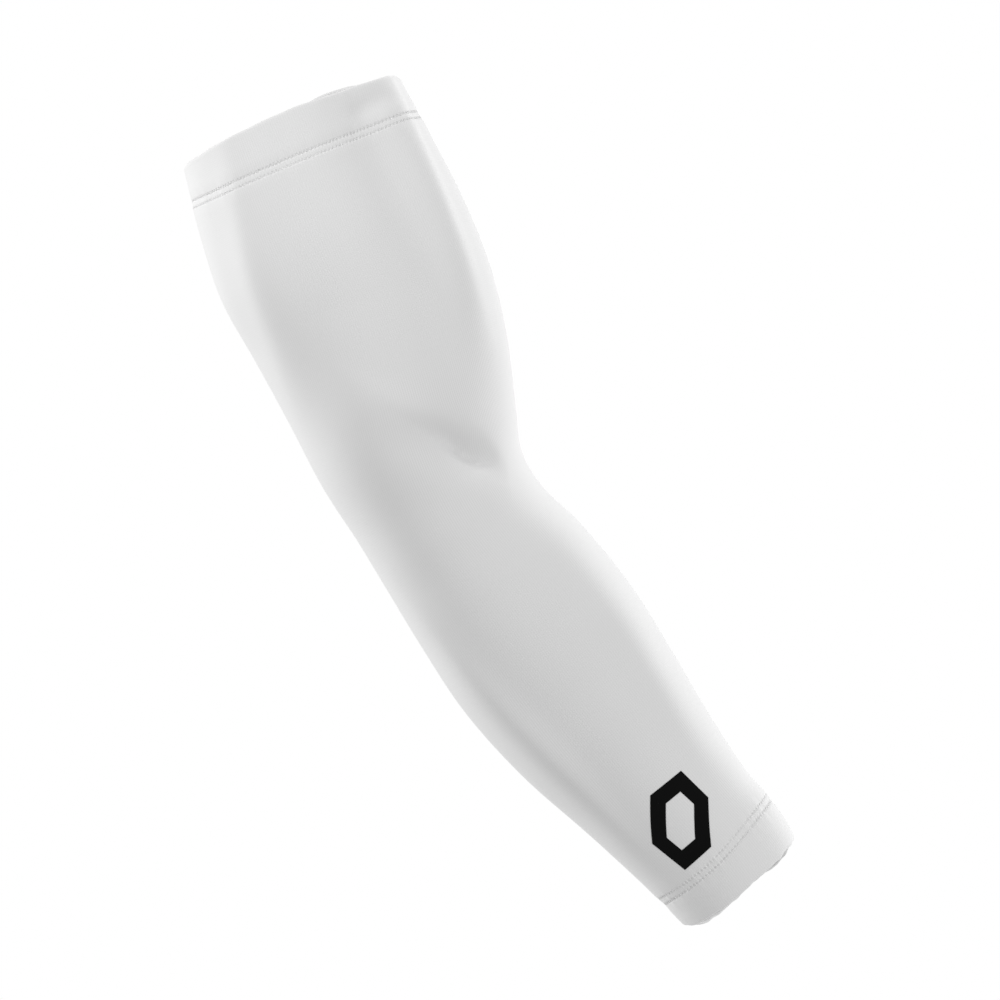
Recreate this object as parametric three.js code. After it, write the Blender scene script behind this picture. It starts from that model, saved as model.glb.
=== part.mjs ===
// A compression sleeve for an arm, in the form that it has when worn with the elbow slightly bent:
// a smooth knit tube, a folded hem at each end and a thin print near the wrist.
//
// Millimetres, +Z up. The origin is the centre of the upper opening, the upper arm runs down
// along -Z, the forearm leans towards +X as it goes down, and the outer face looks along -Y.
// A place on the cloth is given by two numbers: down, from 0 at the upper opening to 1 at the wrist
// opening, and turn, in degrees round the arm, from 0 at +X through 90 at the front to 360.

import * as THREE from "three";
import { LoftGeometry } from "three/addons/geometries/LoftGeometry.js";

// Driving dimensions: the run of the arm
const SLEEVE_DROP = 409;
const WRIST_OFFSET = 57;
const FOREARM_LEAN = 20;

// Outside widths (seen from the front) and depths (seen from the side) where the arm is fullest
const BICEPS = { width: 122, depth: 104 };
const ELBOW = { width: 87, depth: 91 };
const FOREARM = { width: 97, depth: 89 };
const WRIST = { width: 70, depth: 55 };

// The cloth
const KNIT_WALL = 1;
const CLEARANCE = 0.3;

// The hems: how deep each is folded, and how far its facing runs inside the tube past the stitching
const BICEP_HEM_DEPTH = 19;
const WRIST_HEM_DEPTH = 17;
const FACING_LAP = 5;

// The stitching draws the cloth in along its line
const PINCH_DEPTH = 0.7;
const PINCH_REACH = 3;

// The folds at the elbow
const CREASE_DEPTH = 5;
const CREASE_REACH = 7;

// The print, and how far its middle is from the stitched line of the wrist hem
const PRINT_WIDTH = 27;
const PRINT_HEIGHT = 44;
const PRINT_STROKE = 7;
const PRINT_THICKNESS = 0.4;
const PRINT_TILT = 43;
const PRINT_TURN = 94;
const PRINT_TO_STITCHING = 25;

// How finely the cloth is divided
const SIDES = 48;
const TUBE_STEPS = 38;
const HEM_STEPS = 7;
const FOLD_STEPS = 4;
const PRINT_STEPS = 5;
const PATH_STEPS = 6;
const RULER_STEPS = 400;
const SLOPE_STEP = { down: 0.002, turn: 1 };

// How bluntly a fold fades out along its path: 1 is a half wave, less is blunter
const FADE_POWER = 0.7;

// Sections of the arm, one row each. down and over place its centre, as shares of the drop and of
// the wrist offset. fore is how far it stands forward, as a share of its own depth. lean turns it,
// as a share of the forearm's lean. wide and deep are shares of the named size beside them.
const SECTIONS = [
  { down: -0.04, over: 0.0, fore: 0.0, lean: 0.0, size: BICEPS, wide: 0.885, deep: 0.915 },
  { down: 0.0, over: 0.0, fore: 0.0, lean: 0.0, size: BICEPS, wide: 0.893, deep: 0.93 },
  { down: 0.08, over: -0.015, fore: 0.01, lean: 0.0, size: BICEPS, wide: 0.96, deep: 0.97 },
  { down: 0.16, over: -0.015, fore: 0.02, lean: 0.0, size: BICEPS, wide: 1.0, deep: 1.0 },
  { down: 0.24, over: 0.013, fore: 0.025, lean: 0.0, size: BICEPS, wide: 0.965, deep: 1.0 },
  { down: 0.32, over: -0.005, fore: 0.015, lean: -0.03, size: BICEPS, wide: 0.893, deep: 0.965 },
  { down: 0.4, over: -0.058, fore: 0.0, lean: 0.0, size: ELBOW, wide: 1.115, deep: 1.046 },
  { down: 0.46, over: -0.057, fore: -0.01, lean: 0.33, size: ELBOW, wide: 1.0, deep: 1.0 },
  { down: 0.51, over: -0.01, fore: -0.005, lean: 0.58, size: ELBOW, wide: 0.995, deep: 0.99 },
  { down: 0.58, over: 0.125, fore: 0.015, lean: 0.7, size: ELBOW, wide: 1.076, deep: 0.978 },
  { down: 0.67, over: 0.28, fore: 0.03, lean: 0.7, size: FOREARM, wide: 1.0, deep: 0.98 },
  { down: 0.76, over: 0.447, fore: 0.025, lean: 0.8, size: FOREARM, wide: 0.93, deep: 0.89 },
  { down: 0.85, over: 0.65, fore: 0.01, lean: 0.965, size: FOREARM, wide: 0.805, deep: 0.765 },
  { down: 0.92, over: 0.817, fore: 0.0, lean: 1.12, size: WRIST, wide: 1.017, deep: 1.07 },
  { down: 0.955, over: 0.915, fore: 0.0, lean: 1.23, size: WRIST, wide: 1.0, deep: 1.0 },
  { down: 0.985, over: 0.975, fore: 0.0, lean: 1.0, size: WRIST, wide: 0.965, deep: 0.96 },
  { down: 1.0, over: 1.0, fore: 0.0, lean: 0.87, size: WRIST, wide: 0.925, deep: 0.93 },
  { down: 1.04, over: 1.1, fore: 0.0, lean: 0.75, size: WRIST, wide: 0.87, deep: 0.87 },
];

// Folds that lie across the cloth, one row each, with a path through turn and down. height is a
// share of the crease's depth, below nought for a valley. above and below are how far it
// spreads on either side of its path, as shares of the crease's reach.
const FOLDS = [
  { name: "elbow crease", height: -0.9, above: 2.6, below: 0.9,
    path: [[94, 0.366], [74, 0.398], [54, 0.432], [30, 0.456], [2, 0.468]] },
  { name: "ridge under the crease", height: 0.5, above: 1.2, below: 2.2,
    path: [[112, 0.28], [92, 0.385], [66, 0.452], [44, 0.52], [22, 0.58]] },
  { name: "hollow of the front forearm", height: -0.35, above: 2.4, below: 2.4,
    path: [[92, 0.47], [74, 0.56], [66, 0.66]] },
  { name: "belly of the upper arm", height: 0.4, above: 4.0, below: 4.0,
    path: [[88, 0.16], [92, 0.26], [96, 0.34]] },
  { name: "hollow beside the belly", height: -0.35, above: 1.8, below: 1.8,
    path: [[44, 0.06], [38, 0.16], [42, 0.28], [60, 0.36]] },
  { name: "point of the elbow", height: 0.3, above: 3.0, below: 3.0,
    path: [[226, 0.41], [224, 0.46], [222, 0.51]] },
];

// Swells of the rim and of the stitched line at each hem. turn and reach are degrees, rim and seam
// are how far each line stands out towards the opening, as shares of the hem's depth.
const BICEP_SWELLS = [
  { turn: 90, reach: 42, rim: 0.1, seam: 0.0 },
  { turn: 180, reach: 38, rim: -0.05, seam: 0.08 },
  { turn: 262, reach: 46, rim: 0.36, seam: 0.34 },
  { turn: 300, reach: 26, rim: 0.24, seam: 0.2 },
];
const WRIST_SWELLS = [
  { turn: 100, reach: 45, rim: 0.07, seam: 0.08 },
  { turn: 236, reach: 38, rim: 0.3, seam: 0.16 },
  { turn: 296, reach: 26, rim: 0.16, seam: 0.1 },
];

// Each hem: where its rim is, which way the opening lies along down, its depth and its swells
const HEMS = {
  bicep_hem: { rim: 0, outward: -1, depth: BICEP_HEM_DEPTH, swells: BICEP_SWELLS },
  wrist_hem: { rim: 1, outward: 1, depth: WRIST_HEM_DEPTH, swells: WRIST_SWELLS },
};

// Where the steps along the tube and along a hem are closer together: at the stitched lines, where
// the cloth is drawn in, and at the elbow. at and reach are shares of the run, extra is how many
// times more steps fall there.
const TUBE_CROWDS = [
  { at: 0.0, reach: 0.015, extra: 7 },
  { at: 0.44, reach: 0.07, extra: 1.6 },
  { at: 1.0, reach: 0.015, extra: 7 },
];
const HEM_CROWDS = [{ at: 0.0, reach: 0.12, extra: 4 }];

const radians = THREE.MathUtils.degToRad;

// A smooth bump: 1 in the middle, near 0 past twice the reach.
function bell(distance, reach) {
  return Math.exp(-((distance / reach) ** 2));
}

// The shares of a run at which its steps fall, from 0 to 1, closer together where it is crowded.
function stations(steps, crowds) {
  const ruler = Array.from({ length: RULER_STEPS + 1 }, (_, i) => i / RULER_STEPS);
  let sum = 0;
  const sums = ruler.map((share) => {
    const before = sum;
    sum += 1 + crowds.reduce((total, row) => total + row.extra * bell(share - row.at, row.reach), 0);
    return before;
  });
  const curve = new THREE.LinearInterpolant(sums, ruler, 1);
  const last = sums.at(-1);
  return Array.from({ length: steps + 1 }, (_, i) => curve.evaluate((last * i) / steps)[0]);
}

// The smallest angle between two turns, in degrees.
function turnBetween(a, b) {
  return Math.abs(THREE.MathUtils.euclideanModulo(a - b + 180, 360) - 180);
}

// The section table as smooth curves over down.
const sectionCurves = new THREE.CubicInterpolant(
  SECTIONS.map((row) => row.down),
  SECTIONS.flatMap((row) => [
    row.over * WRIST_OFFSET,
    row.fore * row.size.depth * row.deep,
    row.lean * FOREARM_LEAN,
    (row.wide * row.size.width) / 2,
    (row.deep * row.size.depth) / 2,
  ]),
  5,
);

function sectionAt(down) {
  const [over, fore, lean, halfWidth, halfDepth] = sectionCurves.evaluate(down);
  return { over, fore, lean: radians(lean), halfWidth, halfDepth };
}

// How far the rim and the stitched line of a hem stand out at a turn, in millimetres.
function swell(hem, column, turn) {
  const shares = hem.swells.map((row) => row[column] * bell(turnBetween(turn, row.turn), row.reach));
  return hem.depth * shares.reduce((sum, share) => sum + share, 0);
}

// The place along down of a hem's rim and of its stitched line, at a turn.
function rimDown(hem, turn) {
  return hem.rim + (hem.outward * swell(hem, "rim", turn)) / SLEEVE_DROP;
}

function seamDown(hem, turn) {
  return hem.rim + (hem.outward * (swell(hem, "seam", turn) - hem.depth)) / SLEEVE_DROP;
}

// A fold's path laid flat, in millimetres round the elbow and along the arm.
function flat(turn, down) {
  return new THREE.Vector2((radians(turn) * ELBOW.width) / 2, down * SLEEVE_DROP);
}

const foldPaths = FOLDS.map((fold) => {
  const curve = new THREE.SplineCurve(fold.path.map(([turn, down]) => flat(turn, down)));
  return { ...fold, points: curve.getPoints(fold.path.length * PATH_STEPS) };
});

// How high a fold stands at a point laid flat. Across its path it is a bell with its own reach on
// each side, and along the path it fades out at both ends.
function foldHeight(fold, point) {
  let nearest = Infinity;
  let share = 0;
  let side = 0;
  const steps = fold.points.length - 1;
  for (let i = 0; i < steps; i += 1) {
    const start = fold.points[i];
    const run = fold.points[i + 1].clone().sub(start);
    const offset = point.clone().sub(start);
    const along = THREE.MathUtils.clamp(offset.dot(run) / run.lengthSq(), 0, 1);
    const distance = offset.distanceTo(run.clone().multiplyScalar(along));
    if (distance < nearest) {
      nearest = distance;
      share = (i + along) / steps;
      side = run.cross(offset);
    }
  }
  const reach = CREASE_REACH * (side > 0 ? fold.above : fold.below);
  const fade = Math.max(Math.sin(Math.PI * share), 0) ** FADE_POWER;
  return fold.height * CREASE_DEPTH * fade * bell(nearest, reach);
}

// How far the cloth stands out from its plain section: folds, less the stitching's pull.
function relief(down, turn) {
  const wrapped = THREE.MathUtils.euclideanModulo(turn + 90, 360) - 90;
  const point = flat(wrapped, down);
  const folds = foldPaths.reduce((sum, fold) => sum + foldHeight(fold, point), 0);
  const pinch = Object.values(HEMS).reduce((sum, hem) => {
    const distance = (down - seamDown(hem, turn)) * SLEEVE_DROP;
    return sum + bell(distance, PINCH_REACH);
  }, 0);
  return folds - pinch * PINCH_DEPTH;
}

// The outer skin of the cloth.
function skin(down, turn) {
  const { over, fore, lean, halfWidth, halfDepth } = sectionAt(down);
  const angle = radians(turn);
  const rise = relief(down, turn);
  const across = (halfWidth + rise) * Math.cos(angle);
  const front = (halfDepth + rise) * Math.sin(angle);
  return new THREE.Vector3(
    over + across * Math.cos(lean),
    -fore - front,
    -down * SLEEVE_DROP + across * Math.sin(lean),
  );
}

// The direction out of the cloth, from two short steps along it.
function outward(down, turn) {
  const round = skin(down, turn + SLOPE_STEP.turn).sub(skin(down, turn - SLOPE_STEP.turn));
  const along = skin(down + SLOPE_STEP.down, turn).sub(skin(down - SLOPE_STEP.down, turn));
  return round.cross(along).normalize();
}

// A point at a depth under the outer skin, or above it where the depth is below nought.
function under(down, turn, depth) {
  return skin(down, turn).addScaledVector(outward(down, turn), -depth);
}

// A closed band round the arm: its profile is a loop of functions of turn, each giving a point.
function band(profile) {
  const ring = (pointAt) => Array.from({ length: SIDES }, (_, i) => pointAt((360 * i) / SIDES));
  const rings = profile.map(ring);
  return new LoftGeometry([...rings, rings[0]], { closed: true });
}

// The knit tube between the stitched lines of the two hems.
function tubeGeometry() {
  const gap = CLEARANCE / 2 / SLEEVE_DROP;
  const station = (share, depth) => (turn) => {
    const start = seamDown(HEMS.bicep_hem, turn) + gap;
    const end = seamDown(HEMS.wrist_hem, turn) - gap;
    return under(THREE.MathUtils.lerp(start, end, share), turn, depth);
  };
  const shares = stations(TUBE_STEPS, TUBE_CROWDS);
  const outside = shares.map((share) => station(share, 0));
  const inside = shares.toReversed().map((share) => station(share, KNIT_WALL));
  return band([...outside, ...inside]);
}

// A folded hem: the outer layer, the round fold at the rim, and the facing that runs back inside
// past the stitched line, where it lies under the end of the tube.
function hemGeometry(hem) {
  const thickness = 2 * KNIT_WALL + CLEARANCE;
  const lapDepth = KNIT_WALL + CLEARANCE;
  const place = (share, offset, depth) => (turn) => {
    const seam = seamDown(hem, turn);
    const rim = rimDown(hem, turn);
    const down = THREE.MathUtils.lerp(seam, rim, share) + (hem.outward * offset) / SLEEVE_DROP;
    return under(down, turn, depth);
  };
  const fold = Array.from({ length: FOLD_STEPS + 1 }, (_, i) => {
    const angle = (Math.PI * i) / FOLD_STEPS;
    const offset = (thickness / 2) * (Math.sin(angle) - 1);
    return place(1, offset, (thickness / 2) * (1 - Math.cos(angle)));
  });
  const shares = stations(HEM_STEPS, HEM_CROWDS).slice(1, -1);
  const profile = [
    place(0, CLEARANCE / 2, 0),
    ...shares.map((share) => place(share, 0, 0)),
    ...fold,
    ...shares.toReversed().map((share) => place(share, 0, thickness)),
    place(0, -FACING_LAP, thickness),
    place(0, -FACING_LAP, lapDepth),
    place(0, CLEARANCE / 2, lapDepth),
  ];
  return band(hem.outward > 0 ? profile : profile.reverse());
}

// A point of the print: x and y lie in its own upright plane, wrapped round the cloth.
function printPoint(x, y, depth) {
  const tilt = radians(PRINT_TILT);
  const round = x * Math.cos(tilt) + y * Math.sin(tilt);
  const along = y * Math.cos(tilt) - x * Math.sin(tilt);
  const centre = seamDown(HEMS.wrist_hem, PRINT_TURN) - PRINT_TO_STITCHING / SLEEVE_DROP;
  const turn = PRINT_TURN - THREE.MathUtils.radToDeg(round / sectionAt(centre).halfWidth);
  return under(centre - along / SLEEVE_DROP, turn, depth);
}

// A closed outline drawn in by a distance, with its corners mitred.
function inset(corners, distance) {
  return corners.map((corner, i) => {
    const before = corner.clone().sub(corners.at(i - 1)).normalize();
    const after = corners[(i + 1) % corners.length].clone().sub(corner).normalize();
    const middle = before.clone().add(after).normalize();
    const inward = new THREE.Vector2(middle.y, -middle.x);
    return corner.clone().addScaledVector(inward, distance / middle.dot(after));
  });
}

// The print is a plain six-sided frame, taller than it is wide, lifted clear of the cloth.
function printGeometry() {
  const shape = [[0, 1], [1, 0.5], [1, -0.5], [0, -1], [-1, -0.5], [-1, 0.5]];
  const outer = shape.map(([x, y]) => new THREE.Vector2((x * PRINT_WIDTH) / 2, (y * PRINT_HEIGHT) / 2));
  const outlines = [outer, inset(outer, PRINT_STROKE / 2), inset(outer, PRINT_STROKE)];
  const onSide = (ring, i, share) => ring[i].clone().lerp(ring[(i + 1) % ring.length], share);
  const sections = shape.flatMap((_, i) =>
    Array.from({ length: PRINT_STEPS }, (__, step) => {
      const edges = outlines.map((ring) => onSide(ring, i, step / PRINT_STEPS));
      const top = edges.map(({ x, y }) => printPoint(x, y, -CLEARANCE - PRINT_THICKNESS));
      const bottom = edges.toReversed().map(({ x, y }) => printPoint(x, y, -CLEARANCE));
      return [...top, ...bottom];
    }),
  );
  return new LoftGeometry([...sections, sections[0]], { closed: true });
}

const knit = new THREE.MeshStandardMaterial({ color: 0xdcdcde, roughness: 0.85, metalness: 0 });
const ink = new THREE.MeshStandardMaterial({ color: 0x050505, roughness: 0.6, metalness: 0 });

function piece(name, geometry, material) {
  const mesh = new THREE.Mesh(geometry, material);
  mesh.name = name;
  return mesh;
}

const sleeve = new THREE.Group();
sleeve.add(piece("sleeve_body", tubeGeometry(), knit));
Object.entries(HEMS).forEach(([name, hem]) => sleeve.add(piece(name, hemGeometry(hem), knit)));
sleeve.add(piece("wrist_mark", printGeometry(), ink));

export default sleeve;
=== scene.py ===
"""A knitted compression sleeve for an arm, held in the form that it has when worn, in a plain studio.

The sizes and the section table are the part's own. The folds, the swells of the hems and the pull
of their stitching are this script's own, and differ from the solids'. Shapes are worked out in
millimetres and put into the meshes in metres. A place on the cloth is given by down, from 0 at the
upper opening to 1 at the wrist opening, and turn, in degrees round the arm, from 0 at +X through
90 at the front (-Y) to 360.
"""

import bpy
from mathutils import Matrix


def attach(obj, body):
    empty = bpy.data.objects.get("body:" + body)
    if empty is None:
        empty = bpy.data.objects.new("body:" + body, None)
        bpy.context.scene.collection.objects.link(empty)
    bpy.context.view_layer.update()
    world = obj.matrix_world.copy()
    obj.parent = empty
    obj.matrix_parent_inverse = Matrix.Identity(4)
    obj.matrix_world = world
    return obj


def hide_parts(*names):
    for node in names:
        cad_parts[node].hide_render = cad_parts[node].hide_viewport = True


bl_info = {
    "name": "Compression Sleeve",
    "version": (1, 0, 0),
    "blender": (4, 5, 0),
    "location": "View3D > Sidebar > Sleeve",
    "description": "Makes a knitted arm sleeve with stitched hems and a print, and its studio",
    "category": "Object",
}

import math

import bpy
import numpy as np
from bpy.props import FloatProperty, FloatVectorProperty, IntProperty, PointerProperty
from mathutils import Matrix, Vector

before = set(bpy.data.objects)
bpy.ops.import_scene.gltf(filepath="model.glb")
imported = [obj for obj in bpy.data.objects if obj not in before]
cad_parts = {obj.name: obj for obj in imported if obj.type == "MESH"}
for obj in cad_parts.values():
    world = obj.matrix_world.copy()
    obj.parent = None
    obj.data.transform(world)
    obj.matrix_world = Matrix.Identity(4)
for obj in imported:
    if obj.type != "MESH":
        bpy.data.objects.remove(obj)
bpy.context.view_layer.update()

# Millimetres to metres
MM = 0.001

# The turn at the front of the arm
FRONT_TURN = 90

# The run of the arm
SLEEVE_DROP = 409
WRIST_OFFSET = 57
FOREARM_LEAN = 20

# Outside widths and depths where the arm is fullest
BODY_SIZES = {
    "biceps": {"width": 122, "depth": 104},
    "elbow": {"width": 87, "depth": 91},
    "forearm": {"width": 97, "depth": 89},
    "wrist": {"width": 70, "depth": 55},
}

# The cloth, the hems and the pull of their stitching
KNIT_WALL = 1
CLEARANCE = 0.3
BICEP_HEM_DEPTH = 19
WRIST_HEM_DEPTH = 17
FACING_LAP = 5
PINCH_DEPTH = 0.3
PINCH_REACH = 3

# The folds: the depth and the reach that they are shares of, how softly each fades out along its
# path (1 is a half wave, more is softer) and how many short lines follow each step of a path
CREASE_DEPTH = 5
CREASE_REACH = 7
FADE_POWER = 2
PATH_STEPS = 6

# The print
PRINT_WIDTH = 27
PRINT_HEIGHT = 44
PRINT_STROKE = 7
PRINT_TILT = 43
PRINT_TURN = 94
PRINT_TO_STITCHING = 25

# Sections of the arm. down and over place the centre, as shares of the drop and of the wrist
# offset. fore is how far it stands forward, as a share of its own depth. lean turns it, as a share
# of the forearm's lean. wide and deep are shares of the named size beside them.
SECTION_COLUMNS = ("down", "over", "fore", "lean", "size", "wide", "deep")
SECTIONS = (
    (-0.04, 0.0, 0.0, 0.0, "biceps", 0.885, 0.915),
    (0.0, 0.0, 0.0, 0.0, "biceps", 0.893, 0.93),
    (0.08, -0.015, 0.01, 0.0, "biceps", 0.96, 0.97),
    (0.16, -0.015, 0.02, 0.0, "biceps", 1.0, 1.0),
    (0.24, 0.013, 0.025, 0.0, "biceps", 0.965, 1.0),
    (0.32, -0.005, 0.015, -0.03, "biceps", 0.893, 0.965),
    (0.4, -0.058, 0.0, 0.0, "elbow", 1.115, 1.046),
    (0.46, -0.057, -0.01, 0.33, "elbow", 1.0, 1.0),
    (0.51, -0.01, -0.005, 0.58, "elbow", 0.995, 0.99),
    (0.58, 0.125, 0.015, 0.7, "elbow", 1.076, 0.978),
    (0.67, 0.28, 0.03, 0.7, "forearm", 1.0, 0.98),
    (0.76, 0.447, 0.025, 0.8, "forearm", 0.93, 0.89),
    (0.85, 0.65, 0.01, 0.965, "forearm", 0.805, 0.765),
    (0.92, 0.817, 0.0, 1.12, "wrist", 1.017, 1.07),
    (0.955, 0.915, 0.0, 1.23, "wrist", 1.0, 1.0),
    (0.985, 0.975, 0.0, 1.0, "wrist", 0.965, 0.96),
    (1.0, 1.0, 0.0, 0.87, "wrist", 0.925, 0.93),
    (1.04, 1.1, 0.0, 0.75, "wrist", 0.87, 0.87),
)

# Folds that lie across the cloth, each with its path through turn and down. height is a share of
# the crease's depth, and above and below are its spread on either side of its path, as shares of
# the crease's reach.
FOLD_COLUMNS = ("name", "height", "above", "below", "path")
FOLDS = (
    ("elbow crease", -1.25, 0.95, 1.8,
     ((108, 0.333), (94, 0.364), (81, 0.393), (69, 0.42), (58, 0.443), (48, 0.46), (38, 0.471))),
    ("pinched line of the crease", -0.6, 0.7, 0.45,
     ((90, 0.366), (82, 0.387), (74, 0.407), (66, 0.426), (58, 0.442), (50, 0.455), (43, 0.463))),
    ("ridge under the crease", 0.35, 0.9, 1.8,
     ((126, 0.26), (114, 0.295), (100, 0.336), (82, 0.388), (67, 0.445), (54, 0.482), (42, 0.51))),
    ("hollow of the front forearm", -0.35, 2.4, 2.4,
     ((100, 0.42), (86, 0.5), (74, 0.58), (66, 0.68), (62, 0.76))),
    ("belly of the upper arm", 1.0, 4.2, 4.2,
     ((96, 0.22), (103, 0.33), (108, 0.43), (112, 0.54))),
    ("hollow beside the belly", -1.0, 1.4, 2.2,
     ((58, -0.15), (57, -0.03), (55, 0.08), (54, 0.19), (58, 0.29), (68, 0.38))),
    ("outer ridge of the upper arm", 0.9, 1.0, 1.6,
     ((24, -0.17), (27, -0.06), (33, 0.05), (37, 0.16), (37, 0.27), (31, 0.37))),
    ("inner ridge of the upper arm", 0.7, 1.8, 1.4,
     ((116, -0.15), (119, -0.03), (125, 0.08), (133, 0.18), (145, 0.28), (154, 0.36))),
    ("dent in the upper hem", -0.4, 0.8, 0.8,
     ((66, 0.034), (56, 0.029), (46, 0.025), (36, 0.021), (26, 0.018))),
    ("inner ridge of the forearm", 0.8, 1.2, 2.0,
     ((158, 0.48), (146, 0.58), (135, 0.68), (130, 0.78), (134, 0.88), (138, 0.95))),
    ("outer ridge of the forearm", 0.6, 2.0, 1.4,
     ((38, 0.53), (44, 0.63), (47, 0.73), (49, 0.83), (51, 0.93))),
    ("hollow of the middle forearm", -0.55, 3.6, 3.6,
     ((86, 0.5), (90, 0.62), (93, 0.74), (95, 0.86))),
    ("point of the elbow", 0.3, 3.0, 3.0,
     ((228, 0.36), (226, 0.41), (224, 0.46), (222, 0.51), (220, 0.56))),
)

# Swells of each hem's rim and stitched line, as shares of the hem's depth
SWELL_COLUMNS = ("turn", "reach", "rim", "seam")
BICEP_SWELLS = (
    (90, 42, 0.1, 0.0),
    (0, 12, -0.07, 0.0),
    (180, 38, -0.05, 0.08),
    (180, 10, -0.07, 0.0),
    (262, 46, 0.32, 0.34),
    (300, 26, 0.24, 0.2),
)
WRIST_SWELLS = (
    (100, 45, 0.07, 0.08),
    (0, 14, -0.1, 0.0),
    (165, 50, 0.0, -0.2),
    (180, 22, -0.26, 0.0),
    (236, 38, 0.3, 0.16),
    (300, 34, 0.22, 0.1),
)

# Each hem: where its rim is, which way the opening lies along down, its depth and swells, and what
# only shows from near: the waves of its rim and the puckers along its stitching, as waves round
# the arm with a count, a phase in radians and a height in millimetres.
HEMS = {
    "upper": {
        "node": "bicep_hem", "rim": 0, "outward": -1, "depth": BICEP_HEM_DEPTH, "swells": BICEP_SWELLS,
        "rim_waves": ((9, 0.4, 0.1), (21, 2.0, 0.07)),
        "puckers": ((27, 0.3, 0.05), (43, 1.9, 0.05), (71, 4.0, 0.035)),
        "stitching": "upper_hem_stitching",
    },
    "lower": {
        "node": "wrist_hem", "rim": 1, "outward": 1, "depth": WRIST_HEM_DEPTH, "swells": WRIST_SWELLS,
        "rim_waves": ((7, 1.1, 0.28), (17, 0.2, 0.16), (29, 2.6, 0.08)),
        "puckers": ((19, 1.3, 0.07), (31, 0.4, 0.06), (49, 2.2, 0.04)),
        "stitching": "lower_hem_stitching",
    },
}
WAVE_COLUMNS = ("count", "phase", "height")

# The twin-needle stitching: two rows, the first on the hem's own stitched line and the second
# further up the arm. The rows sink into the cloth, deepest where the needles went in, and the
# cloth swells beside them.
ROW_GAP = 3.2
ROW_SHARES = (1.0, 0.85)
GROOVE_DEPTH = 0.1
GROOVE_REACH = 0.6
PIT_DEPTH = 0.55
PIT_REACH = 0.42
PUFF_HEIGHT = 0.12
PUFF_REACH = 3.4
PUFF_OFFSET = 5.0
PUCKER_REACH = 5.0

# The hem ends, and the tube begins, this far up the arm from the first row
HEM_RUN_ON = ROW_GAP + 1.3

# The plain flat seam that closes the tube at the back, and its two rows of stitching
SEAM_TURN = 270
SEAM_HALF_WIDTH = 3.2
SEAM_HEIGHT = 0.22
SEAM_ROW = 2.1
SEAM_STITCH = 2.4
SEAM_SQUARENESS = 6

# A needle stitch: its rings along the pitch, how high it lies and how much its ends thin, as shares
# of the thread's width and radius, and the step that finds the cloth's normal under a thread
STITCH_SHARES = (0.14, 0.28, 0.5, 0.72, 0.86)
STITCH_LIFT = 0.42
STITCH_THINNING = 0.45
NORMAL_STEP = 0.2
NEEDLE_SIDES = 6
LOOPER_SIDES = 5

# How finely the cloth is divided
TUBE_COLUMNS = 280
TUBE_ROWS = 210
TUBE_INSIDE_ROWS = 50
STITCH_COLUMNS = 6
ROW_STEP = 0.32
FLAT_ROWS = 14
FOLD_ROWS = 8
FACING_ROWS = 12
RULER_STEPS = 400
LINE_STEPS = 720
PRINT_STEPS_ACROSS = 8
FLOOR_SIDES = 96
SHARP_ANGLE = 70
SLOPE_STEP = {"down": 0.002, "turn": 1}
TUBE_CROWDS = ((0.0, 0.02, 3.5), (0.44, 0.08, 1.2), (1.0, 0.02, 3.5))
SEAM_CROWDS = ((0.0, 0.02, 5), (1.0, 0.02, 5))
CROWD_COLUMNS = ("at", "reach", "extra")

# The photograph's view: its scale on the sleeve in millimetres a pixel, its width in pixels, how
# far the camera stands, how far the picture is rolled and the point that it looks at.
PICTURE_SCALE = 0.465
PICTURE_WIDTH = 1000
CAMERA_DISTANCE = 3000
CAMERA_ROLL = 22.7
CAMERA_AIM = (21.8, 0, -200.4)
SENSOR_WIDTH = 36


def linear(code):
    """A colour from an sRGB hex code: each share is c / 12.92 when dark, or else c + 0.055 over
    1.055, to the power of 2.4."""
    shares = np.array([int(code[i : i + 2], 16) / 255 for i in (1, 3, 5)])
    return tuple(np.where(shares <= 0.04045, shares / 12.92, ((shares + 0.055) / 1.055) ** 2.4).tolist())


def named(columns, rows):
    """The rows of a table as dicts."""
    return [dict(zip(columns, row)) for row in rows]


def bell(distance, reach):
    """A smooth bump: e to the minus square of distance over reach."""
    return np.exp(-((distance / reach) ** 2))


def smooth_through(samples, values, at, end_share=1.0):
    """A smooth curve through rows of values: between two rows it is the cubic whose slope at each
    row is the mean of the slopes on both sides, or a share of the only one at an end."""
    steps = np.diff(samples)[:, None]
    rises = np.diff(values, axis=0) / steps
    ends = rises[:1] * end_share, rises[-1:] * end_share
    slopes = np.concatenate([ends[0], (rises[1:] + rises[:-1]) / 2, ends[1]])
    low = np.clip(np.searchsorted(samples, at) - 1, 0, len(steps) - 1)
    step = steps[low]
    x = ((at - samples[low]) / step[..., 0])[..., None]
    start = (2 * x**3 - 3 * x**2 + 1) * values[low] + (x**3 - 2 * x**2 + x) * step * slopes[low]
    end = (3 * x**2 - 2 * x**3) * values[low + 1] + (x**3 - x**2) * step * slopes[low + 1]
    return start + end


def stations(steps, crowds):
    """Shares from 0 to 1, closer together where the run is crowded: the running sum of one plus
    a bell for each crowd, read backwards."""
    ruler = np.linspace(0, 1, RULER_STEPS + 1)
    rows = named(CROWD_COLUMNS, crowds)
    crowding = 1 + sum(row["extra"] * bell(ruler - row["at"], row["reach"]) for row in rows)
    sums = np.concatenate([[0], np.cumsum(crowding[:-1])])
    return np.interp(np.linspace(0, sums[-1], steps + 1), sums, ruler)


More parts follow.
